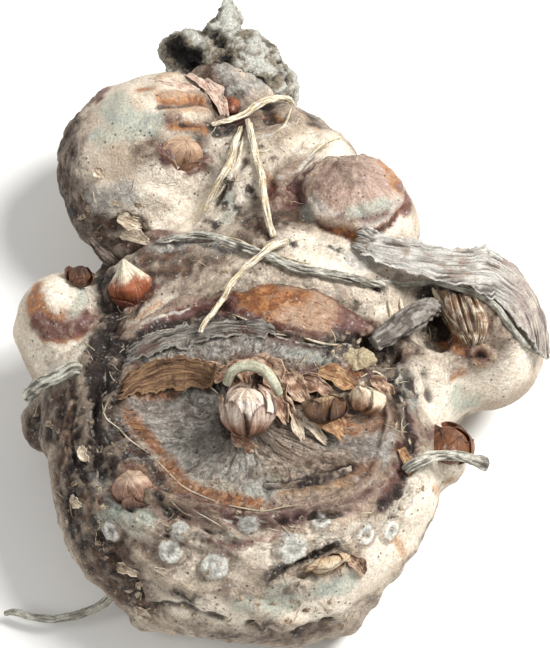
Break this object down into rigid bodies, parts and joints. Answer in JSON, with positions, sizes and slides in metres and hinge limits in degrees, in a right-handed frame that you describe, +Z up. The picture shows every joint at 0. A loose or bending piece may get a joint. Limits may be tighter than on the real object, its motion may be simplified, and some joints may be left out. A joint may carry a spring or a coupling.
{
  "type": "calla lily tuber",
  "caption": "Dormant calla lily tuber: knobbly cream and brown corm with offsets, eyes, dry leaf sheath, root ends and a withered far end.",
  "frame": {"origin": "on the ground plane, in the middle of the flat spot the main disc rests on", "axes": "+X to the viewer's right, +Y away from the viewer along the tuber's length, +Z up"},
  "size_m": [0.0975, 0.1301, 0.0423],
  "materials": {
    "flesh": "dry cream and tan skin with brown and purple-brown crust",
    "withered_tissue": "crumbling grey, dull",
    "papery_bud": "papery, pinkish brown and off-white",
    "green_stem": "fresh pale green, slightly waxy",
    "amber_scale": "thin amber scale with a soft shine",
    "pale_bud_scale": "cream, smooth",
    "bud_skin": "cream to orange-brown bud skin",
    "dry_leaf": "dry grey leaf sheath with long fibres",
    "dry_fibre": "grey fibrous strands",
    "dry_root": "straw coloured dry root",
    "soil": "pale crumbly soil"
  },
  "bodies": {
    "root": {"tuber_body": "flesh", "withered_crust": "withered_tissue", "crown_bud": "papery_bud", "crown_shoot": "green_stem", "amber_bud": "amber_scale", "pale_bud": "pale_bud_scale", "spear_bud": "bud_skin", "globe_bud": "bud_skin", "offset_bud": "bud_skin", "pocket_bud": "bud_skin", "nub_scale": "amber_scale", "slit_scale": "pale_bud_scale", "leaf_sheath": "dry_leaf", "sheath_cord": "dry_fibre", "sheath_stump": "dry_fibre", "crown_membrane": "dry_leaf", "crown_scale": "amber_scale", "dry_root_top": "dry_root", "dry_root_long": "dry_root", "dry_root_left": "dry_root", "dry_root_front": "dry_root", "hooked_root": "dry_root", "right_root_stub": "dry_root", "left_root_stub": "dry_root", "throat_spike": "dry_fibre", "soil_grains": "soil"}
  },
  "joints": []
}
